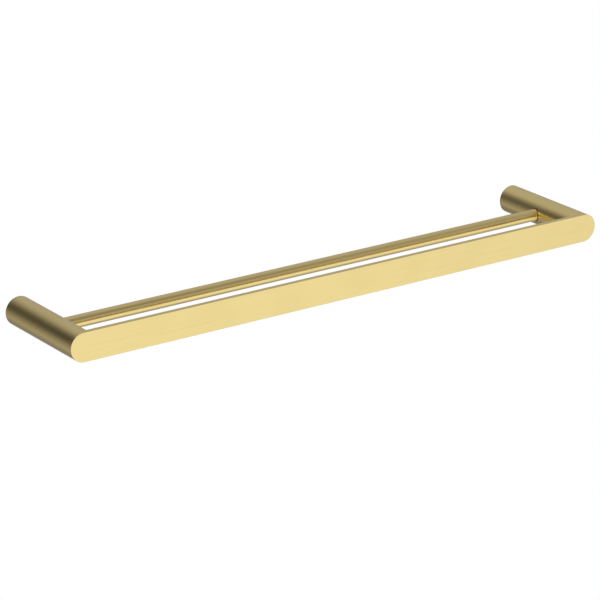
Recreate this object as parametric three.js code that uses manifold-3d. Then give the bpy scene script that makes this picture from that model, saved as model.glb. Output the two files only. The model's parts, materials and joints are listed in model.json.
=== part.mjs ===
// Double towel rail for a bathroom wall, in millimetres with +Z up.
// The origin is on the wall plane, midway between the two posts and level with their axes.
// +X runs along the bars and +Y points into the wall, so the rail lies at negative Y.

import * as THREE from 'three';
import { mergeVertices } from 'three/addons/utils/BufferGeometryUtils.js';
import Module from 'manifold-3d';

const wasm = await Module();
wasm.setup();

// Overall sizes
const overallLength = 600; // end to end of the front bar
const depth = 115; // from the wall to the front face
const postDiameter = 28; // also the height of the front bar, whose round ends continue the posts

// Front bar
const frontBarThickness = 4.5;
const frontBarEdge = 0.4; // softened edge around both faces

// Posts
const postWall = 2;
const postWallEdge = 0.7; // chamfer around the end next to the wall
const wallGap = 0.4; // keeps the posts from rubbing on the wall

// Rear bar
const rearBarDiameter = 12;
const rearBarTubeWall = 1.2;
const rearBarFromWall = 55; // from the wall to the bar's axis
const rearBarInsertion = 6; // how far each end goes into its socket

// Sockets that hold the ends of the rear bar inside the posts
const socketWall = 1;
const socketFloor = 1.5;

// Wall brackets: round spigots with a flat milled underneath for the grub screw
const spigotLength = 12;
const wallScrewHole = 4.4; // for a 4 mm countersunk wood screw
const wallScrewHead = 8.4;
const wallScrewSpacing = 12;

// Grub screws, from below
const grubDiameter = 5;
const grubLength = 4;
const grubFromWall = 6;
const grubRecess = 0.4; // how far the screw's outer end lies inside the post's surface
const grubSocketFlats = 2.5; // across the flats of the hexagon socket
const grubSocketDepth = 2;
const grubPoint = 0.6; // bevel around the tip

// Studs and nuts that hold the posts to the front bar
const bossThickness = 5;
const studDiameter = 6;
const studLength = 17;
const washerDiameter = 12;
const washerThickness = 1.6;
const nutFlats = 10;
const nutThickness = 5;

// Clearances
const seam = 0.3; // between two pieces that touch or fit into each other
const overcut = 1; // how far a cutting shape runs past the surface that it cuts

// Facets of a full circle
const postFacets = 48;
const barFacets = 32;
const smallFacets = 20;

// Places worked out from the sizes above
const postRadius = postDiameter / 2;
const boreRadius = postRadius - postWall;
const postX = overallLength / 2 - postRadius;
const barBackY = -(depth - frontBarThickness);
const postFrontY = barBackY + seam;
const spigotRadius = boreRadius - seam;
const bossBackY = postFrontY + bossThickness;
const washerFrontY = bossBackY + seam;
const nutFrontY = washerFrontY + washerThickness + seam;
const studHole = studDiameter + 2 * seam;
const rearBarY = -rearBarFromWall;
const socketBore = rearBarDiameter + 2 * seam;
const socketDiameter = socketBore + 2 * socketWall;
const postHole = socketDiameter + 2 * seam;
const barEndX = postX - postRadius + rearBarInsertion;
const grubOuterZ = -(postRadius - grubRecess);
const grubTipZ = grubOuterZ + grubLength;
const flatZ = grubTipZ + seam;

const finishes = {
  satinGold: { color: 0xe6cf93, roughness: 0.28, metalness: 1 },
  rawBrass: { color: 0xb99a5b, roughness: 0.45, metalness: 1 },
  stainless: { color: 0xb9bbbd, roughness: 0.35, metalness: 1 },
};

function namedMesh(name, geometry, finish) {
  const mesh = new THREE.Mesh(geometry, new THREE.MeshStandardMaterial(finish));
  mesh.name = name;
  return mesh;
}

// A geometry with only its positions, each shared vertex once.
function bareGeometry(geometry) {
  const bare = geometry.clone();
  bare.deleteAttribute('normal');
  bare.deleteAttribute('uv');
  return mergeVertices(bare, 1e-4);
}

function toSolid(geometry) {
  const bare = bareGeometry(geometry);
  const mesh = new wasm.Mesh({
    numProp: 3,
    vertProperties: new Float32Array(bare.getAttribute('position').array),
    triVerts: new Uint32Array(bare.index.array),
  });
  return new wasm.Manifold(mesh);
}

function toGeometry(solid) {
  const mesh = solid.getMesh();
  const geometry = new THREE.BufferGeometry();
  geometry.setAttribute('position', new THREE.BufferAttribute(mesh.vertProperties, 3));
  geometry.setIndex(new THREE.BufferAttribute(mesh.triVerts, 1));
  geometry.computeVertexNormals();
  return geometry;
}

function cut(geometry, tools) {
  let solid = toSolid(geometry);
  for (const tool of tools) {
    solid = solid.subtract(toSolid(tool));
  }
  return toGeometry(solid);
}

// A solid turned around the Y axis from a closed outline of [radius, y] points.
function turned(outline, facets) {
  const points = outline.map(([radius, y]) => new THREE.Vector2(radius, y));
  points.push(points[0].clone());
  return new THREE.LatheGeometry(points, facets);
}

// A plain ring around the Y axis.
function ring(innerRadius, outerRadius, lowY, highY, facets) {
  return turned([
    [outerRadius, lowY],
    [outerRadius, highY],
    [innerRadius, highY],
    [innerRadius, lowY],
  ], facets);
}

// A cylinder along Y between two places.
function rodAlongY(radius, lowY, highY, facets) {
  const geometry = new THREE.CylinderGeometry(radius, radius, highY - lowY, facets);
  return geometry.translate(0, (lowY + highY) / 2, 0);
}

// A cylinder along X between two places.
function rodAlongX(radius, lowX, highX, facets) {
  const geometry = new THREE.CylinderGeometry(radius, radius, highX - lowX, facets);
  return geometry.rotateZ(-Math.PI / 2).translate((lowX + highX) / 2, 0, 0);
}

// A cylinder along Z between two places.
function rodAlongZ(radius, lowZ, highZ, facets) {
  const geometry = new THREE.CylinderGeometry(radius, radius, highZ - lowZ, facets);
  return geometry.rotateX(Math.PI / 2).translate(0, 0, (lowZ + highZ) / 2);
}

function hexagon(acrossFlats) {
  const cornerRadius = acrossFlats / Math.sqrt(3);
  const shape = new THREE.Shape();
  for (let corner = 0; corner < 6; corner += 1) {
    const angle = (corner * Math.PI) / 3;
    const x = cornerRadius * Math.cos(angle);
    const y = cornerRadius * Math.sin(angle);
    if (corner === 0) {
      shape.moveTo(x, y);
    } else {
      shape.lineTo(x, y);
    }
  }
  shape.closePath();
  return shape;
}

// A flat bar with ends as round as it is high, the same radius as the posts behind it.
function frontBar() {
  const radius = postRadius - frontBarEdge;
  const outline = new THREE.Shape();
  outline.moveTo(-postX, -radius);
  outline.lineTo(postX, -radius);
  outline.absarc(postX, 0, radius, -Math.PI / 2, Math.PI / 2, false);
  outline.lineTo(-postX, radius);
  outline.absarc(-postX, 0, radius, Math.PI / 2, (3 * Math.PI) / 2, false);
  const geometry = new THREE.ExtrudeGeometry(outline, {
    depth: frontBarThickness - 2 * frontBarEdge,
    curveSegments: postFacets / 2,
    bevelEnabled: true,
    bevelThickness: frontBarEdge,
    bevelSize: frontBarEdge,
    bevelSegments: 1,
  });
  geometry.rotateX(Math.PI / 2);
  geometry.translate(0, barBackY - frontBarEdge, 0);
  return namedMesh('front_bar', bareGeometry(geometry), finishes.satinGold);
}

function rearBar() {
  const innerRadius = rearBarDiameter / 2 - rearBarTubeWall;
  const geometry = ring(innerRadius, rearBarDiameter / 2, -barEndX, barEndX, barFacets);
  const mesh = namedMesh('rear_bar', geometry.rotateZ(-Math.PI / 2), finishes.satinGold);
  mesh.position.y = rearBarY;
  return mesh;
}

// The post is a tube with a hole for the rear bar's socket on its inner side and a grub screw hole below.
function post(side) {
  const tube = turned([
    [postRadius, postFrontY],
    [postRadius, -wallGap - postWallEdge],
    [postRadius - postWallEdge, -wallGap],
    [boreRadius, -wallGap],
    [boreRadius, postFrontY],
  ], postFacets);
  const socketCut = rodAlongX(postHole / 2, 0, postRadius + overcut, barFacets);
  if (side.sign > 0) {
    socketCut.rotateZ(Math.PI);
  }
  socketCut.translate(0, rearBarY, 0);
  const grubHoleRadius = grubDiameter / 2 + seam;
  const grubCut = rodAlongZ(grubHoleRadius, -postRadius - overcut, 0, smallFacets);
  grubCut.translate(0, -grubFromWall, 0);
  return namedMesh(`${side.name}_post`, cut(tube, [socketCut, grubCut]), finishes.satinGold);
}

// A blind cup set through the inner side of the post. Its mouth follows the post's surface.
function rearBarSocket(side) {
  const floorX = postRadius - rearBarInsertion - seam;
  const cup = rodAlongX(socketDiameter / 2, floorX - socketFloor, postRadius, barFacets);
  const bore = rodAlongX(socketBore / 2, floorX, postRadius + overcut, barFacets);
  const mouthRadius = postRadius - seam;
  const outside = rodAlongY(mouthRadius, -socketDiameter, socketDiameter, postFacets);
  const solid = toSolid(cup).subtract(toSolid(bore)).intersect(toSolid(outside));
  const geometry = toGeometry(solid);
  if (side.sign > 0) {
    geometry.rotateZ(Math.PI);
  }
  geometry.translate(0, rearBarY, 0);
  return namedMesh(`${side.name}_rear_bar_socket`, geometry, finishes.rawBrass);
}

// The spigot is fixed to the wall by two countersunk screws side by side.
function wallBracket(side) {
  const spigot = rodAlongY(spigotRadius, -spigotLength, 0, postFacets);
  const flatHeight = spigotRadius + overcut;
  const flat = new THREE.BoxGeometry(2 * flatHeight, 2 * (spigotLength + overcut), flatHeight);
  flat.translate(0, 0, flatZ - flatHeight / 2);
  const tools = [flat];
  for (const sideways of [-1, 1]) {
    const headDepth = (wallScrewHead - wallScrewHole) / 2;
    const hole = turned([
      [0, -spigotLength - overcut],
      [wallScrewHead / 2 + overcut, -spigotLength - overcut],
      [wallScrewHole / 2, -spigotLength + headDepth],
      [wallScrewHole / 2, overcut],
      [0, overcut],
    ], smallFacets);
    tools.push(hole.translate((sideways * wallScrewSpacing) / 2, 0, 0));
  }
  return namedMesh(`${side.name}_wall_bracket`, cut(spigot, tools), finishes.rawBrass);
}

// A short socket set screw pointing up, with its key socket underneath.
function grubScrew(side) {
  const radius = grubDiameter / 2;
  const body = turned([
    [0, 0],
    [radius, 0],
    [radius, grubLength - grubPoint],
    [radius - grubPoint, grubLength],
    [0, grubLength],
  ], smallFacets);
  body.rotateX(Math.PI / 2);
  const socketCut = new THREE.ExtrudeGeometry(hexagon(grubSocketFlats), {
    depth: grubSocketDepth + overcut,
    bevelEnabled: false,
  });
  socketCut.translate(0, 0, -overcut);
  const mesh = namedMesh(`${side.name}_grub_screw`, cut(body, [socketCut]), finishes.stainless);
  mesh.position.set(0, -grubFromWall, grubOuterZ);
  return mesh;
}

// A disc fixed in the front end of the post, with a hole for the stud.
function postBoss(side) {
  const disc = ring(studHole / 2, spigotRadius, postFrontY, bossBackY, postFacets);
  return namedMesh(`${side.name}_post_boss`, disc, finishes.rawBrass);
}

function stud(side) {
  const rod = rodAlongY(studDiameter / 2, postFrontY, postFrontY + studLength, smallFacets);
  return namedMesh(`${side.name}_stud`, rod, finishes.stainless);
}

function washer(side) {
  const backY = washerFrontY + washerThickness;
  const disc = ring(studHole / 2, washerDiameter / 2, washerFrontY, backY, smallFacets);
  return namedMesh(`${side.name}_washer`, disc, finishes.stainless);
}

function nut(side) {
  const outline = hexagon(nutFlats);
  const hole = new THREE.Path();
  hole.absarc(0, 0, studHole / 2, 0, 2 * Math.PI, true);
  outline.holes.push(hole);
  const geometry = new THREE.ExtrudeGeometry(outline, {
    depth: nutThickness,
    curveSegments: smallFacets,
    bevelEnabled: false,
  });
  geometry.rotateX(-Math.PI / 2);
  geometry.translate(0, nutFrontY, 0);
  return namedMesh(`${side.name}_nut`, bareGeometry(geometry), finishes.stainless);
}

const sides = [
  { name: 'left', sign: -1 },
  { name: 'right', sign: 1 },
];
const sideParts = [post, rearBarSocket, wallBracket, grubScrew, postBoss, stud, washer, nut];

const towelRail = new THREE.Group();
towelRail.name = 'towel_rail';
towelRail.add(frontBar(), rearBar());
for (const side of sides) {
  const assembly = new THREE.Group();
  assembly.position.x = side.sign * postX;
  for (const makePart of sideParts) {
    assembly.add(makePart(side));
  }
  towelRail.add(assembly);
}

export default towelRail;
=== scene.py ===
"""Looks of a wall-hung double towel rail in satin gold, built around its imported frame.

The rail has a flat front bar with round ends, a round rear bar and two round posts. Inside each post
are the bracket that holds it to the wall, the stud joint that holds it to the front bar and the blind
socket that catches the rear bar. Everything is in metres, with +Z up and +Y into the wall.
"""

import json
import logging
import math
from contextlib import contextmanager
from dataclasses import dataclass
from enum import Enum
from itertools import pairwise
from typing import Callable, Iterator, NamedTuple, Protocol, Sequence

import bmesh
import bpy
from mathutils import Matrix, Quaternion, Vector


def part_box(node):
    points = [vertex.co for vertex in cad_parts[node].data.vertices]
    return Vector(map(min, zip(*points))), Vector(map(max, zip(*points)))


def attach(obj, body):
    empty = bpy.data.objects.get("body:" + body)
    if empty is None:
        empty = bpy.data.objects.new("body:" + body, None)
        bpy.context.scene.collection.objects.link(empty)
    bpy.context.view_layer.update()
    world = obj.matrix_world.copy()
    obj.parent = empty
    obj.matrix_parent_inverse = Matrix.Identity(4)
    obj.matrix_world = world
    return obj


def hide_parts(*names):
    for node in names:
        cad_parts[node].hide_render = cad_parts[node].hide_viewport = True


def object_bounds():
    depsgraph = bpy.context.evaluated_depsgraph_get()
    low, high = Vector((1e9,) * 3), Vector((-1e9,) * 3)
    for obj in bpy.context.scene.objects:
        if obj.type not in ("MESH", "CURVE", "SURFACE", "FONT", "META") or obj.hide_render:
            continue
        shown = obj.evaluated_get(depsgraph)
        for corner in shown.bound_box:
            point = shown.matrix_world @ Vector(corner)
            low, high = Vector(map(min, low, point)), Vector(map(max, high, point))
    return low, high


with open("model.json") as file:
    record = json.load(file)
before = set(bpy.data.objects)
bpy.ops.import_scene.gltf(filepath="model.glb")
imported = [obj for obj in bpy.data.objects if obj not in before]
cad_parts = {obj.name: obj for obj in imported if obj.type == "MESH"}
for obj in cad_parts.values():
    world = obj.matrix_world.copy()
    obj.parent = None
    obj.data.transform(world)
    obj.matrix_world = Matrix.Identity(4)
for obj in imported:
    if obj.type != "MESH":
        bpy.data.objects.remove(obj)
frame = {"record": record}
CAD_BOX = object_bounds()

MM = 0.001
SMOOTH_ANGLE = math.radians(34)
QUARTER_TURN = math.pi / 2
MERGE_DISTANCE = 1e-7
LEVEL_TOLERANCE = 1e-6
SLIVER_DISTANCE = 2e-6

log = logging.getLogger("towel_rail")


# ---------------------------------------------------------------------------
# What the frame says
# ---------------------------------------------------------------------------


def body_of_node(node: str) -> str:
    """The body that a node of the frame moves with.

    Args:
        node: the node's name.

    Returns:
        The name of its body.
    """
    bodies = frame["record"]["behaviour"]["bodies"]
    return next(body for body, nodes in bodies.items() if node in nodes)


class Side(Enum):
    """The two ends of the rail, seen from the room."""

    LEFT = "left"
    RIGHT = "right"

    def place(self, point: Vector) -> Vector:
        """The place at this end that matches a point of the left end."""
        return Vector(point) if self is Side.LEFT else Vector((-point.x, point.y, point.z))

    def node(self, piece: str) -> str:
        """The frame's name for this end's copy of a piece."""
        return f"{self.value}_{piece}"


class Extent(NamedTuple):
    """A node's box, with the sizes that round pieces are read from."""

    low: Vector
    high: Vector

    @classmethod
    def of(cls, node: str) -> "Extent":
        """The box of a node of the frame."""
        return cls(*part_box(node))

    @property
    def centre(self) -> Vector:
        """The middle of the box."""
        return (self.low + self.high) / 2

    @property
    def size(self) -> Vector:
        """The box's three side lengths."""
        return self.high - self.low


# ---------------------------------------------------------------------------
# Bench tools: modelling by operators
# ---------------------------------------------------------------------------


class Axis(Enum):
    """The direction that a turned piece runs in, as an index into a point."""

    X = 0
    Y = 1
    Z = 2

    @property
    def direction(self) -> Vector:
        """The unit vector along the axis."""
        return Vector([1.0 if index == self.value else 0.0 for index in range(3)])

    @property
    def tilt(self) -> tuple[float, float, float]:
        """The turn that makes a disc lying flat face along the axis."""
        return ((0.0, QUARTER_TURN, 0.0), (-QUARTER_TURN, 0.0, 0.0), (0.0, 0.0, 0.0))[self.value]

    def point(self, centre: Vector, along: float) -> Vector:
        """The point on a turned piece's axis at one place along it.

        Args:
            centre: any point on the axis.
            along: the coordinate along the axis.

        Returns:
            The point.
        """
        found = Vector(centre)
        found[self.value] = along
        return found

    def across(self, factor: float) -> tuple[float, float, float]:
        """A scale that changes only the two directions across the axis."""
        return tuple(1.0 if index == self.value else factor for index in range(3))


class Station(NamedTuple):
    """One ring of a turned piece: its radius and its place along the axis."""

    radius: float
    along: float


def deselect_everything() -> None:
    """Leaves object mode with nothing selected."""
    if bpy.context.object and bpy.context.object.mode != "OBJECT":
        bpy.ops.object.mode_set(mode="OBJECT")
    bpy.ops.object.select_all(action="DESELECT")


def make_active(piece: bpy.types.Object) -> None:
    """Selects one piece alone and makes it active.

    Args:
        piece: the piece.
    """
    deselect_everything()
    piece.select_set(True)
    bpy.context.view_layer.objects.active = piece


@contextmanager
def editing(piece: bpy.types.Object) -> Iterator[None]:
    """Edit mode on one piece, left again at the end.

    Args:
        piece: the piece to edit.

    Yields:
        Nothing; operators inside the block act on the piece.
    """
    make_active(piece)
    bpy.ops.object.mode_set(mode="EDIT")
    bpy.ops.mesh.select_mode(type="VERT")
    try:
        yield
    finally:
        bpy.ops.object.mode_set(mode="OBJECT")


MeshPart = bmesh.types.BMVert | bmesh.types.BMEdge | bmesh.types.BMFace


class Kind(Enum):
    """What is selected in edit mode, with the name of its list in a mesh."""

    VERT = "verts"
    EDGE = "edges"
    FACE = "faces"


def select(piece: bpy.types.Object, kind: Kind, wanted: Callable[[MeshPart], bool]) -> None:
    """Selects the points, edges or faces that pass a test, in edit mode.

    Args:
        piece: the piece being edited.
        kind: which of the three.
        wanted: the test.
    """
    bpy.ops.mesh.select_mode(type=kind.name)
    bpy.ops.mesh.select_all(action="DESELECT")
    mesh = bmesh.from_edit_mesh(piece.data)
    for part in getattr(mesh, kind.value):
        part.select_set(wanted(part))
    mesh.select_flush_mode()
    bmesh.update_edit_mesh(piece.data)


def settle(piece: bpy.types.Object) -> None:
    """Moves a new primitive's place and turn into its mesh.

    Args:
        piece: the primitive.
    """
    make_active(piece)
    bpy.ops.object.transform_apply(location=True, rotation=True, scale=True)


def turn(
    name: str,
    axis: Axis,
    centre: Vector,
    outline: Sequence[Station],
    segments: int,
    bored: bool = False,
) -> bpy.types.Object:
    """Turns a round piece, as on a lathe, by extruding and resizing one ring after another.

    Args:
        name: the piece's name.
        axis: the direction that it runs in.
        centre: a point on its axis.
        outline: its rings in order, from one end to the other, or all the way round if it is bored.
        segments: how many sides its rings have.
        bored: True for a tube or ring, whose outline closes on itself.

    Returns:
        The finished piece, closed, with its faces pointing out.
    """
    first = outline[0]
    deselect_everything()
    bpy.ops.mesh.primitive_circle_add(
        vertices=segments,
        radius=first.radius,
        fill_type="NOTHING" if bored else "NGON",
        location=axis.point(centre, first.along),
        rotation=axis.tilt,
    )
    piece = bpy.context.object
    piece.name = name
    settle(piece)
    stations = [*outline, first] if bored else outline
    with editing(piece):
        bpy.ops.mesh.select_all(action="SELECT")
        for here, there in pairwise(stations):
            step = axis.direction * (there.along - here.along)
            bpy.ops.mesh.extrude_region_move(TRANSFORM_OT_translate={"value": step})
            bpy.ops.transform.resize(
                value=axis.across(there.radius / here.radius),
                center_override=axis.point(centre, there.along),
            )
        bpy.ops.mesh.select_all(action="SELECT")
        bpy.ops.mesh.remove_doubles(threshold=MERGE_DISTANCE)
        bpy.ops.mesh.normals_make_consistent(inside=False)
    return piece


def rounded_corner(corner: Station, size: float, toward_end: int, steps: int = 4) -> list[Station]:
    """The rings of a rounded outer corner between a round wall and a flat end.

    Args:
        corner: the sharp corner's radius and place.
        size: the radius of the rounding.
        toward_end: +1 if the flat end faces up the axis, -1 if it faces down it.
        steps: how many facets the rounding has.

    Returns:
        The rings from the wall to the end.
    """
    middle = Station(corner.radius - size, corner.along - toward_end * size)
    rings = []
    for step in range(steps + 1):
        angle = QUARTER_TURN * step / steps
        radius = middle.radius + size * math.cos(angle)
        rings.append(Station(radius, middle.along + toward_end * size * math.sin(angle)))
    return rings


def apply_modifier(piece: bpy.types.Object, kind: str, **settings: object) -> None:
    """Adds one modifier with its settings and applies it.

    Args:
        piece: the piece to change.
        kind: the modifier's type.
        **settings: its properties.
    """
    make_active(piece)
    modifier = piece.modifiers.new(kind.title(), kind)
    for key, value in settings.items():
        setattr(modifier, key, value)
    bpy.ops.object.modifier_apply(modifier=modifier.name)


def carve(piece: bpy.types.Object, tool: bpy.types.Object, operation: str = "DIFFERENCE") -> None:
    """Cuts a piece with a tool, or keeps what they share, and throws the tool away.

    Args:
        piece: the piece to cut.
        tool: the shape that cuts it.
        operation: DIFFERENCE or INTERSECT.
    """
    apply_modifier(piece, "BOOLEAN", object=tool, operation=operation, solver="EXACT")
    deselect_everything()
    tool.select_set(True)
    bpy.ops.object.delete()


def close_slivers(piece: bpy.types.Object) -> None:
    """Merges the points that a cut has left almost on top of each other.

    Args:
        piece: the piece that was cut.
    """
    with editing(piece):
        bpy.ops.mesh.select_all(action="SELECT")
        bpy.ops.mesh.remove_doubles(threshold=SLIVER_DISTANCE)
        bpy.ops.mesh.normals_make_consistent(inside=False)


def soften(piece: bpy.types.Object, width: float, segments: int = 2) -> None:
    """Rounds every sharp edge of a piece a little.

    Args:
        piece: the piece to soften.
        width: how far the rounding reaches from the edge.
        segments: how many facets it has.
    """
    apply_modifier(
        piece,
        "BEVEL",
        width=width,
        segments=segments,
        limit_method="ANGLE",
        angle_limit=SMOOTH_ANGLE,
        use_clamp_overlap=True,
    )


def mirror_image(piece: bpy.types.Object) -> bpy.types.Object:
    """Copies a piece of the left end, with its own mesh, to the same place at the right end.

    Args:
        piece: the piece of the left end.

    Returns:
        Its mirror image across the middle of the rail.
    """
    make_active(piece)
    bpy.ops.object.duplicate(linked=False)
    image = bpy.context.object
    with editing(image):
        bpy.ops.mesh.select_all(action="SELECT")
        bpy.ops.transform.resize(value=(-1.0, 1.0, 1.0), center_override=(0.0, 0.0, 0.0))
        bpy.ops.mesh.normals_make_consistent(inside=False)
    return image


THREAD_DEPTH = 0.54  # of the pitch
CREST_START = 0.42  # where a crest begins and ends in a turn
CREST_END = 0.58
HEXAGON_SIDES = 6


def thread(radius: float, pitch: float, start: float, end: float) -> list[Station]:
    """The rings of a screw thread, crest and root in turn, with a lead-in at both ends.

    Args:
        radius: the thread's outer radius.
        pitch: the distance between two crests.
        start: where the thread begins along the axis.
        end: where it ends.

    Returns:
        The rings from start to end.
    """
    depth = THREAD_DEPTH * pitch
    turns = int(abs(end - start) / pitch)
    step = (end - start) / turns
    rings = [Station(radius - depth, start)]
    for index in range(turns):
        rings.append(Station(radius, start + step * (index + CREST_START)))
        rings.append(Station(radius, start + step * (index + CREST_END)))
        rings.append(Station(radius - depth, start + step * (index + 1)))
    return rings


# ---------------------------------------------------------------------------
# Finishes
# ---------------------------------------------------------------------------


NUMBER = "NodeSocketFloat"
VECTOR = "NodeSocketVector"

# How many clouds of each kind there are in a metre, or in a unit of the drawn-out grain.
FINE_STREAKS = 1.0
BROAD_STREAKS = 0.3
TOOL_WOBBLE = 900.0
TURNED_CLOUDS = 60.0
HAZE_PATCHES = 18.0
HAZE_MOTTLE = 420.0
# the next number sets how patchy the painted edge highlight is
EDGE_PATCHES = 160.0

# Where the noise of each effect starts to show and where it shows fully.
CLOUD_RANGE = (0.3, 0.7)
PATCH_RANGE = (0.38, 0.68)
MOTTLE_RANGE = (0.35, 0.65)

# How much of an effect is left where its noise doesn't show.
MOTTLE_FLOOR = 0.6
EDGE_PATCH_FLOOR = 0.35

TURNING_RANGE = (0.995, 0.90)  # the cosine between a face and its rounded edge, from none to full
RING_STRENGTH = 0.5  # how much a ring adds to the wobble
TOOL_PITCH = 0.3 * MM
EDGE_REACH = 0.4 * MM


class NodeBench:
    """Places and joins nodes in one tree."""

    def __init__(self, tree: bpy.types.NodeTree) -> None:
        """Starts with an empty tree.

        Args:
            tree: the tree to fill.
        """
        self.tree = tree
        self.tree.nodes.clear()

    def add(self, kind: str, inputs: dict | None = None, **settings: object) -> bpy.types.Node:
        """Adds one node.

        Args:
            kind: the node's type name.
            inputs: values or output sockets for its inputs, by name or number.
            **settings: its own properties.

        Returns:
            The node.
        """
        node = self.tree.nodes.new(kind)
        for key, value in settings.items():
            setattr(node, key, value)
        for key, value in (inputs or {}).items():
            if isinstance(value, bpy.types.NodeSocket):
                self.tree.links.new(value, node.inputs[key])
            else:
                node.inputs[key].default_value = value
        return node

    def calculate(self, operation: str, *values: object, clamp: bool = False) -> bpy.types.NodeSocket:
        """Adds a math node.

        Args:
            operation: its operation.
            *values: its inputs, as numbers or sockets.
            clamp: True to keep the result between 0 and 1.

        Returns:
            The result's socket.
        """
        inputs = dict(enumerate(values))
        return self.add("ShaderNodeMath", inputs, operation=operation, use_clamp=clamp).outputs[0]

    def combine(self, operation: str, first: object, second: object) -> bpy.types.Node:
        """Adds a vector math node.

        Args:
            operation: its operation.
            first: its first input.
            second: its second input.

        Returns:
            The node.
        """
        return self.add("ShaderNodeVectorMath", {0: first, 1: second}, operation=operation)

    def noise(
        self, place: object, scale: object, detail: float = 2.0, **inputs: float
    ) -> bpy.types.NodeSocket:
        """Adds a cloud of soft noise.

        Args:
            place: the socket with a point's place.
            scale: how many clouds there are in a unit.
            detail: how many finer layers it has.
            **inputs: values for its other inputs.

        Returns:
            The noise's socket.
        """
        given = {"Vector": place, "Scale": scale, "Detail": detail, **inputs}
        return self.add("ShaderNodeTexNoise", given).outputs["Fac"]

    def join(self, source: bpy.types.NodeSocket, target: bpy.types.NodeSocket) -> None:
        """Links one socket to another."""
        self.tree.links.new(source, target)

    def effect(self, name: str, place: bpy.types.NodeSocket) -> bpy.types.Node:
        """Places a shared effect, which is built at its first use.

        Args:
            name: the effect's name.
            place: the socket with a point's place.

        Returns:
            The group's node.
        """
        tree = bpy.data.node_groups.get(name) or EFFECTS[name]()
        return self.add("ShaderNodeGroup", {"Place": place}, node_tree=tree)

    def spread(
        self, value: object, low: float, high: float, to_low: float = 0.0, to_high: float = 1.0
    ) -> bpy.types.NodeSocket:
        """Maps a value smoothly from one range to another.

        Args:
            value: the socket to map.
            low: where the range starts.
            high: where the range ends.
            to_low: what low becomes.
            to_high: what high becomes.

        Returns:
            The result's socket.
        """
        inputs = {"Value": value, "From Min": low, "From Max": high, "To Min": to_low, "To Max": to_high}
        node = self.add("ShaderNodeMapRange", inputs, interpolation_type="SMOOTHSTEP")
        return node.outputs["Result"]

    def mix(self, factor: object, first: object, second: object, blend: str = "MIX") -> bpy.types.NodeSocket:
        """Mixes two colours.

        Args:
            factor: how much of the second shows.
            first: the first colour or its socket.
            second: the second colour or its socket.
            blend: the way of mixing.

        Returns:
            The result's socket.
        """
        inputs = {0: factor, 6: first, 7: second}
        node = self.add("ShaderNodeMix", inputs, data_type="RGBA", blend_type=blend)
        return node.outputs[2]


def new_material(name: str) -> tuple[bpy.types.Material, NodeBench]:
    """Makes an empty material.

    Args:
        name: its name.

    Returns:
        The material and its bench.
    """
    material = bpy.data.materials.new(name)
    material.use_nodes = True
    return material, NodeBench(material.node_tree)


def new_group(
    name: str, takes: dict[str, tuple[str, float | None]], gives: dict[str, str]
) -> tuple[NodeBench, bpy.types.Node, bpy.types.Node]:
    """Makes an empty shader node group with named inputs and outputs.

    Args:
        name: the group's name.
        takes: each input's socket type and its value unless another is given.
        gives: each output's socket type.

    Returns:
        The group's bench, its input node and its output node.
    """
    tree = bpy.data.node_groups.new(name, "ShaderNodeTree")
    for label, (kind, value) in takes.items():
        socket = tree.interface.new_socket(label, in_out="INPUT", socket_type=kind)
        if value is not None:
            socket.default_value = value
    for label, kind in gives.items():
        tree.interface.new_socket(label, in_out="OUTPUT", socket_type=kind)
    bench = NodeBench(tree)
    return bench, bench.add("NodeGroupInput"), bench.add("NodeGroupOutput")


def build_brushing() -> bpy.types.NodeTree:
    """Fine lines from a brushing belt: two sizes of streak, each drawn out along the grain.

    Returns:
        The effect's node group.
    """
    takes = {"Place": (VECTOR, None), "Grain": (VECTOR, None)}
    bench, given, result = new_group("brushing", takes, {"Lines": NUMBER, "Bands": NUMBER})
    drawn = bench.combine("MULTIPLY", given.outputs["Place"], given.outputs["Grain"]).outputs[0]
    fine = bench.noise(drawn, FINE_STREAKS, detail=3.0, Roughness=0.65)
    broad = bench.noise(drawn, BROAD_STREAKS)
    bench.join(bench.spread(fine, *CLOUD_RANGE), result.inputs["Lines"])
    bench.join(bench.spread(broad, *CLOUD_RANGE), result.inputs["Bands"])
    return bench.tree


def build_tool_rings() -> bpy.types.NodeTree:
    """Rings that a lathe tool leaves: around the axis on a flat end, along it on a round side.

    Returns:
        The effect's node group.
    """
    takes = {"Place": (VECTOR, None), "Axis": (VECTOR, None), "Pitch": (NUMBER, TOOL_PITCH)}
    bench, given, result = new_group("tool_rings", takes, {"Rings": NUMBER})
    place, axis = given.outputs["Place"], given.outputs["Axis"]
    along = bench.combine("DOT_PRODUCT", place, axis).outputs["Value"]
    on_axis = bench.combine("PROJECT", place, axis).outputs[0]
    radius = bench.combine("DISTANCE", place, on_axis).outputs["Value"]
    turns = bench.calculate("DIVIDE", bench.calculate("ADD", radius, along), given.outputs["Pitch"])
    wave = bench.calculate("SINE", bench.calculate("MULTIPLY", turns, 2 * math.pi))
    wobble = bench.noise(place, TOOL_WOBBLE)
    bench.join(bench.calculate("MULTIPLY_ADD", wave, RING_STRENGTH, wobble), result.inputs["Rings"])
    return bench.tree


def build_haze() -> bpy.types.NodeTree:
    """Faint handling haze: broad soft patches with a finer mottle inside them.

    Returns:
        The effect's node group.
    """
    bench, given, result = new_group("haze", {"Place": (VECTOR, None)}, {"Haze": NUMBER})
    place = given.outputs["Place"]
    soft = bench.spread(bench.noise(place, HAZE_PATCHES, detail=3.0, Distortion=0.4), *PATCH_RANGE)
    mottle = bench.spread(bench.noise(place, HAZE_MOTTLE), *MOTTLE_RANGE, to_low=MOTTLE_FLOOR)
    bench.join(bench.calculate("MULTIPLY", soft, mottle), result.inputs["Haze"])
    return bench.tree


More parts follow.
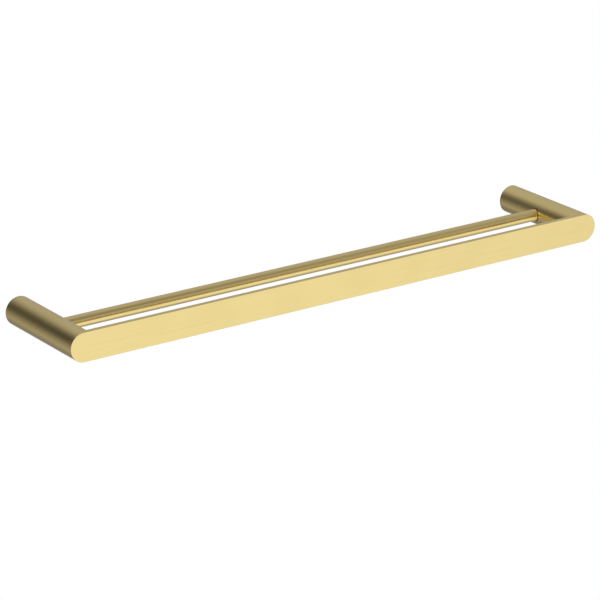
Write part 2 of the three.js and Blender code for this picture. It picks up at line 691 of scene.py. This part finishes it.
def build_edge_polish_and_painted_highlight() -> bpy.types.NodeTree:
    """Where an edge turns: the shading of a rounded edge against the real one, made patchy by noise. The
    finish paints a highlight there and lowers the roughness.

    Returns:
        The effect's node group.
    """
    takes = {"Place": (VECTOR, None), "Reach": (NUMBER, EDGE_REACH)}
    bench, given, result = new_group("edge_polish", takes, {"Edge": NUMBER})
    rounded = bench.add("ShaderNodeBevel", {"Radius": given.outputs["Reach"]}, samples=4).outputs[0]
    real = bench.add("ShaderNodeNewGeometry").outputs["Normal"]
    facing = bench.combine("DOT_PRODUCT", rounded, real).outputs["Value"]
    edge_noise = bench.noise(given.outputs["Place"], EDGE_PATCHES, detail=4.0)
    turning = bench.spread(facing, *TURNING_RANGE)
    patchy = bench.spread(edge_noise, *CLOUD_RANGE, to_low=EDGE_PATCH_FLOOR)
    bench.join(bench.calculate("MULTIPLY", turning, patchy), result.inputs["Edge"])
    return bench.tree


EFFECTS = {
    "brushing": build_brushing,
    "tool_rings": build_tool_rings,
    "haze": build_haze,
    "edge_polish": build_edge_polish_and_painted_highlight,
}


class Marks(Enum):
    """How a surface was worked."""

    BRUSHED = "brushed"
    TURNED = "turned"


@dataclass(frozen=True)
class MetalFinish:
    """One metal surface: its colour, how it was worked, how it has been handled and the highlight painted on
    its rounded edges.
    """

    name: str
    tone: tuple[float, float, float]
    deep_tone: tuple[float, float, float]
    edge_highlight_tone: tuple[float, float, float]
    roughness: float
    roughness_spread: float
    marks: Marks
    grain: tuple[float, float, float] = (1.0, 1.0, 1.0)
    centre: tuple[float, float, float] = (0.0, 0.0, 0.0)
    axis: Axis = Axis.Y
    mark_depth: float = 0.002 * MM
    edge_reach: float = EDGE_REACH
    edge_highlight_strength: float = 0.5
    edge_smoothing: float = 0.06
    line_shade: float = 0.5
    haze_shade: float = 0.25
    band_shade: float = 0.12

    def material(self) -> bpy.types.Material:
        """The finish as a material, made at its first use.

        Returns:
            The material, which every piece with this finish shares.
        """
        known = bpy.data.materials.get(self.name)
        if known:
            return known
        material, bench = new_material(self.name)
        place = bench.add("ShaderNodeTexCoord").outputs["Object"]
        lines, bands = self._marks(bench, place)
        haze = bench.effect("haze", place).outputs["Haze"]
        edge = bench.effect("edge_polish", place)
        edge.inputs["Reach"].default_value = self.edge_reach

        # Painted highlight: rounded edges are mixed towards the lighter edge tone, and the same mask lowers
        # their roughness.
        polish_and_painted_highlight = bench.calculate("MULTIPLY", edge.outputs["Edge"], self.edge_highlight_strength)
        shade = bench.calculate("MULTIPLY", lines, self.line_shade)
        shade = bench.calculate("MULTIPLY_ADD", haze, self.haze_shade, shade)
        shade = bench.calculate("MULTIPLY_ADD", bands, self.band_shade, shade, clamp=True)
        colour = bench.mix(shade, (*self.tone, 1.0), (*self.deep_tone, 1.0))
        colour = bench.mix(polish_and_painted_highlight, colour, (*self.edge_highlight_tone, 1.0))
        rough = bench.calculate("MULTIPLY_ADD", lines, self.roughness_spread, self.roughness)
        rough = bench.calculate("MULTIPLY_ADD", haze, self.roughness_spread, rough)
        rough = bench.calculate("MULTIPLY_ADD", polish_and_painted_highlight, -self.edge_smoothing, rough, clamp=True)
        bump = bench.add("ShaderNodeBump", {"Height": lines, "Distance": self.mark_depth, "Strength": 1.0})
        shader = bench.add(
            "ShaderNodeBsdfPrincipled",
            {"Base Color": colour, "Roughness": rough, "Metallic": 1.0, "Normal": bump.outputs["Normal"]},
        )
        bench.add("ShaderNodeOutputMaterial", {"Surface": shader.outputs["BSDF"]})
        return material

    def _marks(
        self, bench: NodeBench, place: bpy.types.NodeSocket
    ) -> tuple[bpy.types.NodeSocket, bpy.types.NodeSocket]:
        """The working marks of this finish.

        Args:
            bench: the material's bench.
            place: the socket with a point's place.

        Returns:
            The sockets of the fine lines and of the broad bands.
        """
        if self.marks is Marks.BRUSHED:
            group = bench.effect("brushing", place)
            group.inputs["Grain"].default_value = self.grain
            return group.outputs["Lines"], group.outputs["Bands"]
        offset = tuple(-value for value in self.centre)
        moved = bench.add("ShaderNodeMapping", {"Vector": place, "Location": offset}).outputs[0]
        group = bench.effect("tool_rings", moved)
        group.inputs["Axis"].default_value = self.axis.direction
        cloud = bench.noise(place, TURNED_CLOUDS)
        return group.outputs["Rings"], cloud


GOLD = (0.885, 0.722, 0.327)
GOLD_DEEP = (0.825, 0.664, 0.282)
# the lighter gold of the highlight painted on rounded edges
GOLD_EDGE_HIGHLIGHT = (0.895, 0.745, 0.365)
ALONG_GRAIN = 14.0  # how often the brushing changes in a metre along the grain
ACROSS_GRAIN = 3000.0  # and across it


def brushed_gold(name: str, axis: Axis) -> MetalFinish:
    """Satin gold, brushed along one direction.

    Args:
        name: the finish's name.
        axis: the direction that the belt ran in.

    Returns:
        The finish.
    """
    grain = [ACROSS_GRAIN] * 3
    grain[axis.value] = ALONG_GRAIN
    return MetalFinish(
        name=name,
        tone=GOLD,
        deep_tone=GOLD_DEEP,
        edge_highlight_tone=GOLD_EDGE_HIGHLIGHT,
        roughness=0.205,
        roughness_spread=0.035,
        marks=Marks.BRUSHED,
        grain=tuple(grain),
        mark_depth=0.011 * MM,
        edge_reach=0.25 * MM,
        edge_highlight_strength=0.3,
    )


class Metal(Enum):
    """The uncoated metals: the main colour, the duller one, the lighter one painted on rounded edges as a
    highlight, the roughness.
    """

    RAW_BRASS = ((0.56, 0.41, 0.17), (0.43, 0.30, 0.12), (0.78, 0.62, 0.32), 0.34)
    STAINLESS = ((0.57, 0.57, 0.56), (0.44, 0.44, 0.45), (0.80, 0.80, 0.79), 0.30)

    def turned(self, side: Side, axis: Axis, left_centre: Vector) -> MetalFinish:
        """The metal with the rings of the tool that turned it.

        Args:
            side: the end of the rail that the piece is at.
            axis: the piece's axis.
            left_centre: a point on the axis of the left end's piece.

        Returns:
            The finish.
        """
        tone, deep_tone, edge_highlight_tone, roughness = self.value
        return MetalFinish(
            name=f"{self.name.lower()}_{side.value}_{axis.name.lower()}",
            tone=tone,
            deep_tone=deep_tone,
            edge_highlight_tone=edge_highlight_tone,
            roughness=roughness,
            roughness_spread=0.08,
            marks=Marks.TURNED,
            centre=tuple(side.place(left_centre)),
            axis=axis,
            mark_depth=0.04 * MM,
            edge_reach=0.3 * MM,
            edge_highlight_strength=0.7,
        )


def dress(piece: bpy.types.Object, node: str, finish: MetalFinish) -> None:
    """Shades a finished piece, gives it its finish and puts it in the frame.

    Args:
        piece: the piece, at its place.
        node: the node of the frame that it stands for.
        finish: its finish.
    """
    make_active(piece)
    bpy.ops.object.shade_smooth_by_angle(angle=SMOOTH_ANGLE)
    apply_modifier(piece, "WEIGHTED_NORMAL", keep_sharp=True, weight=80)
    piece.data.materials.clear()
    piece.data.materials.append(finish.material())
    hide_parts(node)
    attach(piece, body_of_node(node))
    log.info("%s: %d faces, in %s", piece.name, len(piece.data.polygons), finish.name)


def dress_pair(
    piece: bpy.types.Object, title: str, part: str, finish_at: Callable[[Side], MetalFinish]
) -> None:
    """Dresses a piece of the left end and its mirror image at the right end.

    Args:
        piece: the piece of the left end.
        title: its name, without the side.
        part: the frame's name for it, without the side.
        finish_at: gives the finish that it has at one side.
    """
    for side, copy in ((Side.LEFT, piece), (Side.RIGHT, mirror_image(piece))):
        copy.name = side.node(title)
        dress(copy, side.node(part), finish_at(side))


# ---------------------------------------------------------------------------
# Sub-assemblies
# ---------------------------------------------------------------------------


class SubAssembly(Protocol):
    """Whatever builds its own pieces and dresses them."""

    def make(self) -> None:
        """Builds the pieces and dresses them."""


@dataclass(frozen=True)
class FrontBar:
    """The flat bar that towels hang over, with ends as round as it is high."""

    extent: Extent
    front_edge: float = 0.35 * MM
    back_edge: float = 0.08 * MM
    rim: float = 1.2 * MM
    end_facets: int = 144
    front_edge_facets: int = 4
    back_edge_facets: int = 2

    def build(self) -> bpy.types.Object:
        """Models the bar from a short cylinder whose halves are pulled apart.

        Returns:
            The bar.
        """
        size, centre = self.extent.size, self.extent.centre
        radius = size.z / 2
        half_facet = math.pi / self.end_facets
        deselect_everything()
        bpy.ops.mesh.primitive_cylinder_add(
            vertices=self.end_facets,
            radius=radius,
            depth=size.y,
            end_fill_type="NGON",
            location=centre,
            rotation=(QUARTER_TURN, half_facet, 0.0),
        )
        bar = bpy.context.object
        bar.name = "front_bar_plate"
        settle(bar)
        reach = size.x / 2 - radius
        with editing(bar):
            select(bar, Kind.VERT, lambda point: point.co.x > centre.x)
            bpy.ops.transform.translate(value=(reach, 0.0, 0.0))
            select(bar, Kind.VERT, lambda point: point.co.x < centre.x)
            bpy.ops.transform.translate(value=(-reach, 0.0, 0.0))
            self._round_rim(bar, self.extent.low.y, self.front_edge, self.front_edge_facets)
            self._round_rim(bar, self.extent.high.y, self.back_edge, self.back_edge_facets)
            select(bar, Kind.FACE, lambda face: face.calc_area() > size.x * radius)
            bpy.ops.mesh.inset(thickness=self.rim, use_individual=True)
        return bar

    def _round_rim(self, bar: bpy.types.Object, level: float, width: float, segments: int) -> None:
        """Rounds the edge around one face of the bar, in edit mode.

        Args:
            bar: the bar.
            level: the Y of that face.
            width: how far the rounding reaches.
            segments: how many facets it has.
        """

        def on_rim(edge: bmesh.types.BMEdge) -> bool:
            """Tells whether both ends of an edge are at that level."""
            return all(abs(point.co.y - level) < LEVEL_TOLERANCE for point in edge.verts)

        select(bar, Kind.EDGE, on_rim)
        bpy.ops.mesh.bevel(offset=width, segments=segments, affect="EDGES", profile=0.5)

    def make(self) -> None:
        """Builds the bar and dresses it."""
        dress(self.build(), "front_bar", brushed_gold("satin_gold_front_bar", Axis.X))


@dataclass(frozen=True)
class RearBar:
    """The round tube between the posts."""

    extent: Extent
    wall: float = 1.2 * MM
    end_edge: float = 0.3 * MM
    facets: int = 96
    bays: int = 12

    def build(self) -> bpy.types.Object:
        """Turns the tube.

        Returns:
            The tube.
        """
        radius = self.extent.size.z / 2
        low, high = self.extent.low.x, self.extent.high.x
        step = (high - low) / self.bays
        joints = [low + step * index for index in range(1, self.bays)]
        outline = [
            Station(radius - self.end_edge, low),
            Station(radius, low + self.end_edge),
            *[Station(radius, place) for place in joints],
            Station(radius, high - self.end_edge),
            Station(radius - self.end_edge, high),
            Station(radius - self.wall, high),
            Station(radius - self.wall, low),
        ]
        return turn("rear_bar_tube", Axis.X, self.extent.centre, outline, self.facets, bored=True)

    def make(self) -> None:
        """Builds the tube and dresses it."""
        dress(self.build(), "rear_bar", brushed_gold("satin_gold_rear_bar", Axis.X))


@dataclass(frozen=True)
class Posts:
    """The round posts, tubes from the front bar to the wall."""

    extent: Extent
    front: float
    rear_bar: Extent
    grub: Extent
    wall: float = 2.0 * MM
    wall_edge: float = 0.7 * MM
    bar_clearance: float = 0.6 * MM
    grub_clearance: float = 0.12 * MM
    grub_chamfer: float = 0.35 * MM
    loop_margin: float = 3.0 * MM
    facets: int = 144
    bar_hole_facets: int = 64
    grub_hole_facets: int = 48

    @property
    def radius(self) -> float:
        """A post's outer radius."""
        return self.extent.size.z / 2

    @property
    def bore(self) -> float:
        """The radius of its inside."""
        return self.radius - self.wall

    def build(self) -> bpy.types.Object:
        """Turns the left tube and cuts its two holes.

        Returns:
            The left post.
        """
        back = self.extent.high.y
        bar_y, bar_radius = self.rear_bar.centre.y, self.rear_bar.size.z / 2
        beside_bar = bar_radius + self.loop_margin
        loops = [bar_y - beside_bar, bar_y + beside_bar, self.grub.low.y - self.loop_margin]
        outline = [
            Station(self.radius, self.front),
            *[Station(self.radius, place) for place in loops],
            *rounded_corner(Station(self.radius, back), self.wall_edge, 1),
            Station(self.bore, back),
            *[Station(self.bore, place) for place in reversed(loops)],
            Station(self.bore, self.front),
        ]
        post = turn("post_tube", Axis.Y, self.extent.centre, outline, self.facets, bored=True)
        carve(post, self._bar_cutter(bar_radius))
        carve(post, self._grub_cutter())
        return post

    def _bar_cutter(self, bar_radius: float) -> bpy.types.Object:
        """The tool that opens the inner side for the rear bar.

        Args:
            bar_radius: the rear bar's radius.

        Returns:
            The tool.
        """
        hole = bar_radius + self.bar_clearance
        centre = self.extent.centre.x
        outline = [Station(hole, centre + self.bore / 2), Station(hole, centre + self.radius + self.wall)]
        return turn("bar_cutter", Axis.X, self.rear_bar.centre, outline, self.bar_hole_facets)

    def _grub_cutter(self) -> bpy.types.Object:
        """The tool that drills the grub screw's hole from below, with a small countersink.

        Returns:
            The tool.
        """
        hole = self.grub.size.x / 2 + self.grub_clearance
        bottom = -self.radius
        outline = [
            Station(hole + self.grub_chamfer + self.wall, bottom - self.wall),
            Station(hole, bottom + self.grub_chamfer),
            Station(hole, -self.bore / 2),
        ]
        return turn("grub_cutter", Axis.Z, self.grub.centre, outline, self.grub_hole_facets)

    def make(self) -> None:
        """Builds both posts and dresses them."""
        finish = brushed_gold("satin_gold_posts", Axis.Y)
        dress_pair(self.build(), "post_tube", "post", lambda side: finish)


@dataclass(frozen=True)
class RearBarSockets:
    """The blind cups inside the posts that catch the ends of the rear bar."""

    extent: Extent
    rear_bar: Extent
    bore: float
    post_x: float
    clearance: float = 0.1 * MM
    floor: float = 1.5 * MM
    edge: float = 0.4 * MM
    facets: int = 64
    bore_facets: int = 96

    def build(self) -> bpy.types.Object:
        """Turns the left cup and shapes its mouth to the inside of the post.

        Returns:
            The left cup.
        """
        outer = self.extent.size.z / 2
        inner = self.rear_bar.size.z / 2 + self.clearance
        back, mouth = self.extent.low.x, self.extent.high.x
        outline = [
            Station(outer - self.edge, back),
            Station(outer, back + self.edge),
            Station(outer, mouth),
            Station(inner, mouth),
            Station(inner, back + self.floor),
        ]
        cup = turn("bar_socket_cup", Axis.X, self.rear_bar.centre, outline, self.facets)
        centre = Vector((self.post_x, self.rear_bar.centre.y, self.rear_bar.centre.z))
        reach = 2 * outer
        inside = [Station(self.bore, centre.y - reach), Station(self.bore, centre.y + reach)]
        carve(cup, turn("bore_gauge", Axis.Y, centre, inside, self.bore_facets), "INTERSECT")
        return cup

    def make(self) -> None:
        """Builds both cups and dresses them."""
        dress_pair(
            self.build(),
            "bar_socket_cup",
            "rear_bar_socket",
            lambda side: Metal.RAW_BRASS.turned(side, Axis.X, self.rear_bar.centre),
        )


@dataclass(frozen=True)
class WallBrackets:
    """The spigots that are screwed to the wall and fit inside the posts."""

    extent: Extent
    hole_radius: float = 2.2 * MM
    head_radius: float = 4.2 * MM
    screw_spacing: float = 12.0 * MM
    edge: float = 0.6 * MM
    softened: float = 0.12 * MM
    overshoot: float = 1.0 * MM
    facets: int = 96
    hole_facets: int = 48

    @property
    def axis_point(self) -> Vector:
        """Where the left spigot's axis meets the wall."""
        return Vector((self.extent.centre.x, 0.0, 0.0))

    def build(self) -> bpy.types.Object:
        """Turns the left spigot, mills its flat and drills its screw holes.

        Returns:
            The left bracket.
        """
        centre, radius = self.axis_point, self.extent.size.x / 2
        low, high = self.extent.low.y, self.extent.high.y
        outline = [
            Station(radius - self.edge, low),
            Station(radius, low + self.edge),
            Station(radius, high - self.edge / 2),
            Station(radius - self.edge / 2, high),
        ]
        bracket = turn("wall_spigot", Axis.Y, centre, outline, self.facets)
        with editing(bracket):
            bpy.ops.mesh.select_all(action="SELECT")
            bpy.ops.mesh.bisect(
                plane_co=(centre.x, centre.y, self.extent.low.z),
                plane_no=(0.0, 0.0, -1.0),
                use_fill=True,
                clear_outer=True,
            )
            bpy.ops.mesh.select_all(action="SELECT")
            bpy.ops.mesh.normals_make_consistent(inside=False)
        for sideways in (-self.screw_spacing / 2, self.screw_spacing / 2):
            carve(bracket, self._screw_cutter(centre.x + sideways))
        soften(bracket, self.softened)
        return bracket

    def _screw_cutter(self, place: float) -> bpy.types.Object:
        """The countersinking drill for one wall screw.

        Args:
            place: the hole's X.

        Returns:
            The tool.
        """
        low, high = self.extent.low.y, self.extent.high.y
        sink = self.head_radius - self.hole_radius
        outline = [
            Station(self.head_radius + self.overshoot, low - self.overshoot),
            Station(self.hole_radius, low + sink),
            Station(self.hole_radius, high + self.overshoot),
        ]
        return turn("screw_cutter", Axis.Y, Vector((place, 0.0, 0.0)), outline, self.hole_facets)

    def make(self) -> None:
        """Builds both brackets and dresses them."""
        dress_pair(
            self.build(),
            "wall_spigot",
            "wall_bracket",
            lambda side: Metal.RAW_BRASS.turned(side, Axis.Y, self.axis_point),
        )


@dataclass(frozen=True)
class GrubScrews:
    """The socket set screws under the posts, each with a cupped tip."""

    extent: Extent
    pitch: float = 0.8 * MM
    key_flats: float = 2.5 * MM
    key_depth: float = 2.0 * MM
    tip: float = 0.9 * MM
    cup: float = 0.35 * MM
    tip_share: float = 0.5
    cup_share: float = 0.2
    facets: int = 64

    def build(self) -> bpy.types.Object:
        """Turns the left screw with its thread and sinks the hexagon for its key.

        Returns:
            The left screw.
        """
        radius = self.extent.size.x / 2
        low, high = self.extent.low.z, self.extent.high.z
        outline = [
            *thread(radius, self.pitch, low, high - self.tip),
            Station(radius * self.tip_share, high),
            Station(radius * self.cup_share, high - self.cup),
        ]
        screw = turn("grub_screw_body", Axis.Z, self.extent.centre, outline, self.facets)
        corner = self.key_flats / math.sqrt(3)
        key = [Station(corner, low - self.key_depth), Station(corner, low + self.key_depth)]
        carve(screw, turn("key_cutter", Axis.Z, self.extent.centre, key, HEXAGON_SIDES))
        return screw

    def make(self) -> None:
        """Builds both screws and dresses them."""
        dress_pair(
            self.build(),
            "grub_screw_body",
            "grub_screw",
            lambda side: Metal.STAINLESS.turned(side, Axis.Z, self.extent.centre),
        )


@dataclass(frozen=True)
class StudJoints:
    """What holds the posts to the front bar: in each, a boss, and a stud with a washer and a nut."""

    boss: Extent
    stud: Extent
    washer: Extent
    nut: Extent
    pitch: float = 1.0 * MM
    root: float = 3.0 * MM
    hole_clearance: float = 0.3 * MM
    boss_edge: float = 0.5 * MM
    washer_edge: float = 0.25 * MM
    nut_slope: float = 0.75
    nut_face: float = 0.96
    nut_mouth: float = 0.4 * MM
    overshoot: float = 1.0 * MM
    facets: int = 72

    @property
    def hole(self) -> float:
        """The radius of the hole that a stud passes through."""
        return self.stud.size.x / 2 + self.hole_clearance

    def build_ring(self, name: str, extent: Extent, edge: float) -> bpy.types.Object:
        """Turns a flat ring with chamfered edges.

        Args:
            name: the piece's name.
            extent: its box.
            edge: the size of its chamfers.

        Returns:
            The ring.
        """
        radius, low, high = extent.size.x / 2, extent.low.y, extent.high.y
        outline = [
            Station(radius - edge, low),
            Station(radius, low + edge),
            Station(radius, high - edge),
            Station(radius - edge, high),
            Station(self.hole + edge, high),
            Station(self.hole, high - edge),
            Station(self.hole, low + edge),
            Station(self.hole + edge, low),
        ]
        return turn(name, Axis.Y, extent.centre, outline, self.facets, bored=True)

    def build_stud(self) -> bpy.types.Object:
        """Turns the left stud, threaded past its plain root.

        Returns:
            The left stud.
        """
        radius, low, high = self.stud.size.x / 2, self.stud.low.y, self.stud.high.y
        plain_end = low + self.root
        outline = [
            Station(radius, low),
            Station(radius, plain_end),
            *thread(radius, self.pitch, plain_end + self.pitch / 2, high),
        ]
        return turn("threaded_stud", Axis.Y, self.stud.centre, outline, self.facets)

    def build_nut(self) -> bpy.types.Object:
        """Makes the left hexagon nut, with both faces chamfered.

        Returns:
            The left nut.
        """
        low, high = self.nut.low.y, self.nut.high.y
        corner, flats = self.nut.size.x / 2, self.nut.size.z / 2
        deselect_everything()
        bpy.ops.mesh.primitive_cylinder_add(
            vertices=HEXAGON_SIDES,
            radius=corner,
            depth=high - low,
            end_fill_type="NGON",
            location=self.nut.centre,
            rotation=(QUARTER_TURN, QUARTER_TURN, 0.0),
        )
        nut = bpy.context.object
        settle(nut)
        slope = (corner - flats) * self.nut_slope
        face, widest = flats * self.nut_face, corner + self.hole_clearance
        gauge = [
            Station(face, low),
            Station(widest, low + slope),
            Station(widest, high - slope),
            Station(face, high),
        ]
        carve(nut, turn("chamfer_gauge", Axis.Y, self.nut.centre, gauge, self.facets), "INTERSECT")
        wide = self.hole + self.nut_mouth + self.overshoot
        drill = [
            Station(wide, low - self.overshoot),
            Station(self.hole, low + self.nut_mouth),
            Station(self.hole, high - self.nut_mouth),
            Station(wide, high + self.overshoot),
        ]
        carve(nut, turn("nut_drill", Axis.Y, self.nut.centre, drill, self.facets))
        close_slivers(nut)
        return nut

    def brass(self, side: Side) -> MetalFinish:
        """The finish of the boss at one side."""
        return Metal.RAW_BRASS.turned(side, Axis.Y, Vector((self.stud.centre.x, 0.0, 0.0)))

    def steel(self, side: Side) -> MetalFinish:
        """The finish of the fasteners at one side."""
        return Metal.STAINLESS.turned(side, Axis.Y, Vector((self.stud.centre.x, 0.0, 0.0)))

    def make(self) -> None:
        """Builds the four pieces of both joints and dresses them."""
        boss = self.build_ring("boss_disc", self.boss, self.boss_edge)
        dress_pair(boss, "boss_disc", "post_boss", self.brass)
        dress_pair(self.build_stud(), "threaded_stud", "stud", self.steel)
        washer = self.build_ring("flat_washer", self.washer, self.washer_edge)
        dress_pair(washer, "flat_washer", "washer", self.steel)
        dress_pair(self.build_nut(), "hexagon_nut", "nut", self.steel)


# ---------------------------------------------------------------------------
# Studio
# ---------------------------------------------------------------------------


def toward(bearing: float, height: float) -> Vector:
    """The direction from the rail to something in the studio.

    Args:
        bearing: degrees from straight out into the room, towards +X.
        height: degrees above level.

    Returns:
        The unit vector.
    """
    across, rise = math.radians(bearing), math.radians(height)
    return Vector((math.sin(across) * math.cos(rise), -math.cos(across) * math.cos(rise), math.sin(rise)))


@dataclass(frozen=True)
class SoftBox:
    """A soft round patch of light or shade in the studio's surroundings, in degrees."""

    bearing: float
    height: float
    core: float
    fade: float
    tone: tuple[float, float, float]


WHITE = (1.0, 1.0, 1.0)
MIDDLE_GREY = (0.5, 0.5, 0.5)
WARM_GREY = (0.44, 0.42, 0.42)
DIM_GREY = (0.2, 0.2, 0.2)
DARK_GREY = (0.15, 0.15, 0.15)
LIGHT_GREY = (0.9, 0.9, 0.9)

FRONT_FILL = SoftBox(bearing=5, height=-30, core=30, fade=60, tone=WHITE)
DARK_CEILING = SoftBox(bearing=15, height=60, core=0, fade=35, tone=DARK_GREY)
SHADED_SKIRTING = SoftBox(bearing=180, height=-60, core=10, fade=40, tone=DIM_GREY)
GREY_CEILING = SoftBox(bearing=160, height=50, core=5, fade=45, tone=MIDDLE_GREY)
RIGHT_PANEL = SoftBox(bearing=90, height=15, core=10, fade=35, tone=LIGHT_GREY)
LEFT_PANEL = SoftBox(bearing=-90, height=15, core=10, fade=40, tone=LIGHT_GREY)
TOP_PANEL = SoftBox(bearing=-90, height=70, core=10, fade=40, tone=WHITE)


@dataclass(frozen=True)
class Flag:
    """A long dark flag behind the rail, with feathered edges, that puts the dark stripe on the posts."""

    centre: tuple[float, float, float] = (-1.9, 1.2, 1.1)
    half_width: float = 1.4
    core: float = 0.25
    half_length: float = 3.5
    lean: float = 35.0
    tone: tuple[float, float, float] = (0.05, 0.05, 0.05)

    def make(self) -> None:
        """Hangs the flag, seen only in reflections."""
        turned = (0.0, math.radians(self.lean), 0.0)
        deselect_everything()
        bpy.ops.mesh.primitive_grid_add(x_subdivisions=8, y_subdivisions=4, size=2.0)
        flag = bpy.context.object
        flag.name = "studio_flag"
        with editing(flag):
            bpy.ops.mesh.select_all(action="SELECT")
            bpy.ops.transform.resize(value=(self.half_length, self.half_width, 1.0))
        flag.rotation_euler = (QUARTER_TURN, 0.0, 0.0)
        settle(flag)
        flag.rotation_euler = turned
        flag.location = self.centre
        settle(flag)
        material, bench = new_material("dark_flag")
        place = bench.add("ShaderNodeTexCoord").outputs["Object"]
        local = bench.add(
            "ShaderNodeMapping",
            {
                "Vector": place,
                "Location": self.centre,
                "Rotation": turned,
                "Scale": (self.half_length / self.half_width, 1.0, 1.0),
            },
            vector_type="TEXTURE",
        ).outputs[0]
        distance = bench.add("ShaderNodeVectorMath", {0: local}, operation="LENGTH").outputs["Value"]
        cover = bench.spread(distance, self.half_width, self.core)
        dark = bench.add("ShaderNodeEmission", {"Color": (*self.tone, 1.0), "Strength": 1.0})
        clear = bench.add("ShaderNodeBsdfTransparent")
        surface = bench.add("ShaderNodeMixShader", {0: cover, 1: clear.outputs[0], 2: dark.outputs[0]})
        bench.add("ShaderNodeOutputMaterial", {"Surface": surface.outputs[0]})
        flag.data.materials.append(material)
        for ray in ("visible_camera", "visible_diffuse", "visible_shadow"):
            setattr(flag, ray, False)


@dataclass(frozen=True)
class Studio:
    """A white studio: its camera, its soft surroundings, its floor and its dark flag."""

    bearing: float = -35.2
    height: float = 20.0
    roll: float = 0.1
    distance: float = 2.846
    aim: tuple[float, float, float] = (-15.4 * MM, -1.9 * MM, -28.7 * MM)
    lens: float = 180.9
    sight: float = 100.0
    floor_below: float = 1.3
    floor_size: float = 24.0
    walls: tuple[float, float, float] = WARM_GREY
    soft_boxes: tuple[SoftBox, ...] = (
        FRONT_FILL,
        DARK_CEILING,
        SHADED_SKIRTING,
        GREY_CEILING,
        RIGHT_PANEL,
        LEFT_PANEL,
        TOP_PANEL,
    )

    def make_camera(self) -> None:
        """Stands the camera where the rail is seen from the left and a little above."""
        low, high = CAD_BOX
        target = (low + high) / 2 + Vector(self.aim)
        back = toward(self.bearing, self.height)
        data = bpy.data.cameras.new("camera")
        data.lens = self.lens
        data.clip_end = self.sight
        camera = bpy.data.objects.new("camera", data)
        bpy.context.scene.collection.objects.link(camera)
        camera.location = target + back * self.distance
        camera.rotation_mode = "QUATERNION"
        level = (-back).to_track_quat("-Z", "Y")
        camera.rotation_quaternion = level @ Quaternion((0.0, 0.0, 1.0), math.radians(self.roll))
        bpy.context.scene.camera = camera

    def make_surroundings(self) -> None:
        """Surrounds the rail with soft walls that its metal reflects, white where the camera looks."""
        world = bpy.data.worlds.new("studio")
        world.use_nodes = True
        bpy.context.scene.world = world
        bench = NodeBench(world.node_tree)
        direction = bench.add("ShaderNodeTexCoord").outputs["Generated"]
        colour = (*self.walls, 1.0)
        for box in self.soft_boxes:
            middle = toward(box.bearing, box.height)
            facing = bench.combine("DOT_PRODUCT", direction, middle).outputs["Value"]
            fade, core = math.cos(math.radians(box.fade)), math.cos(math.radians(box.core))
            colour = bench.mix(bench.spread(facing, fade, core), colour, (*box.tone, 1.0))
        reflected = bench.add("ShaderNodeBackground", {"Color": colour, "Strength": 1.0})
        seen = bench.add("ShaderNodeBackground", {"Color": (*WHITE, 1.0), "Strength": 1.0})
        looking = bench.add("ShaderNodeLightPath").outputs["Is Camera Ray"]
        both = bench.add("ShaderNodeMixShader", {0: looking, 1: reflected.outputs[0], 2: seen.outputs[0]})
        bench.add("ShaderNodeOutputWorld", {"Surface": both.outputs[0]})

    def make_floor(self) -> None:
        """Lays a plain pale floor well below the rail, which the camera sees through from beneath."""
        deselect_everything()
        middle = (CAD_BOX[0] + CAD_BOX[1]) / 2
        place = (middle.x, middle.y, -self.floor_below)
        bpy.ops.mesh.primitive_grid_add(
            x_subdivisions=8, y_subdivisions=8, size=self.floor_size, location=place
        )
        floor = bpy.context.object
        floor.name = "studio_floor"
        material, bench = new_material("pale_floor")
        pale = bench.add("ShaderNodeEmission", {"Color": (*WHITE, 1.0), "Strength": 1.0})
        clear = bench.add("ShaderNodeBsdfTransparent")
        below = bench.add("ShaderNodeNewGeometry").outputs["Backfacing"]
        surface = bench.add("ShaderNodeMixShader", {0: below, 1: pale.outputs[0], 2: clear.outputs[0]})
        bench.add("ShaderNodeOutputMaterial", {"Surface": surface.outputs[0]})
        floor.data.materials.append(material)
        for ray in ("visible_glossy", "visible_diffuse", "visible_shadow"):
            setattr(floor, ray, False)

    def make(self) -> None:
        """Sets up the whole studio."""
        self.make_camera()
        self.make_surroundings()
        self.make_floor()
        Flag().make()
        bpy.context.scene.view_settings.view_transform = "Standard"
        log.info("studio: lens %.0f mm, camera %.2f m away", self.lens, self.distance)


def sub_assemblies() -> list[SubAssembly]:
    """What the rail is made of, sized from the frame.

    Returns:
        The sub-assemblies, in the order that they are made.
    """
    front_bar, rear_bar = Extent.of("front_bar"), Extent.of("rear_bar")
    left = Side.LEFT
    grub = Extent.of(left.node("grub_screw"))
    posts = Posts(Extent.of(left.node("post")), front_bar.high.y, rear_bar, grub)
    socket = Extent.of(left.node("rear_bar_socket"))
    fastenings = [Extent.of(left.node(part)) for part in ("post_boss", "stud", "washer", "nut")]
    return [
        FrontBar(front_bar),
        RearBar(rear_bar),
        posts,
        RearBarSockets(socket, rear_bar, posts.bore, posts.extent.centre.x),
        WallBrackets(Extent.of(left.node("wall_bracket"))),
        GrubScrews(grub),
        StudJoints(*fastenings),
    ]


def main() -> None:
    """Builds the studio, then every sub-assembly of the rail."""
    logging.basicConfig(level=logging.INFO, format="%(name)s: %(message)s")
    Studio().make()
    for assembly in sub_assemblies():
        assembly.make()


if __name__ == "__main__":
    main()
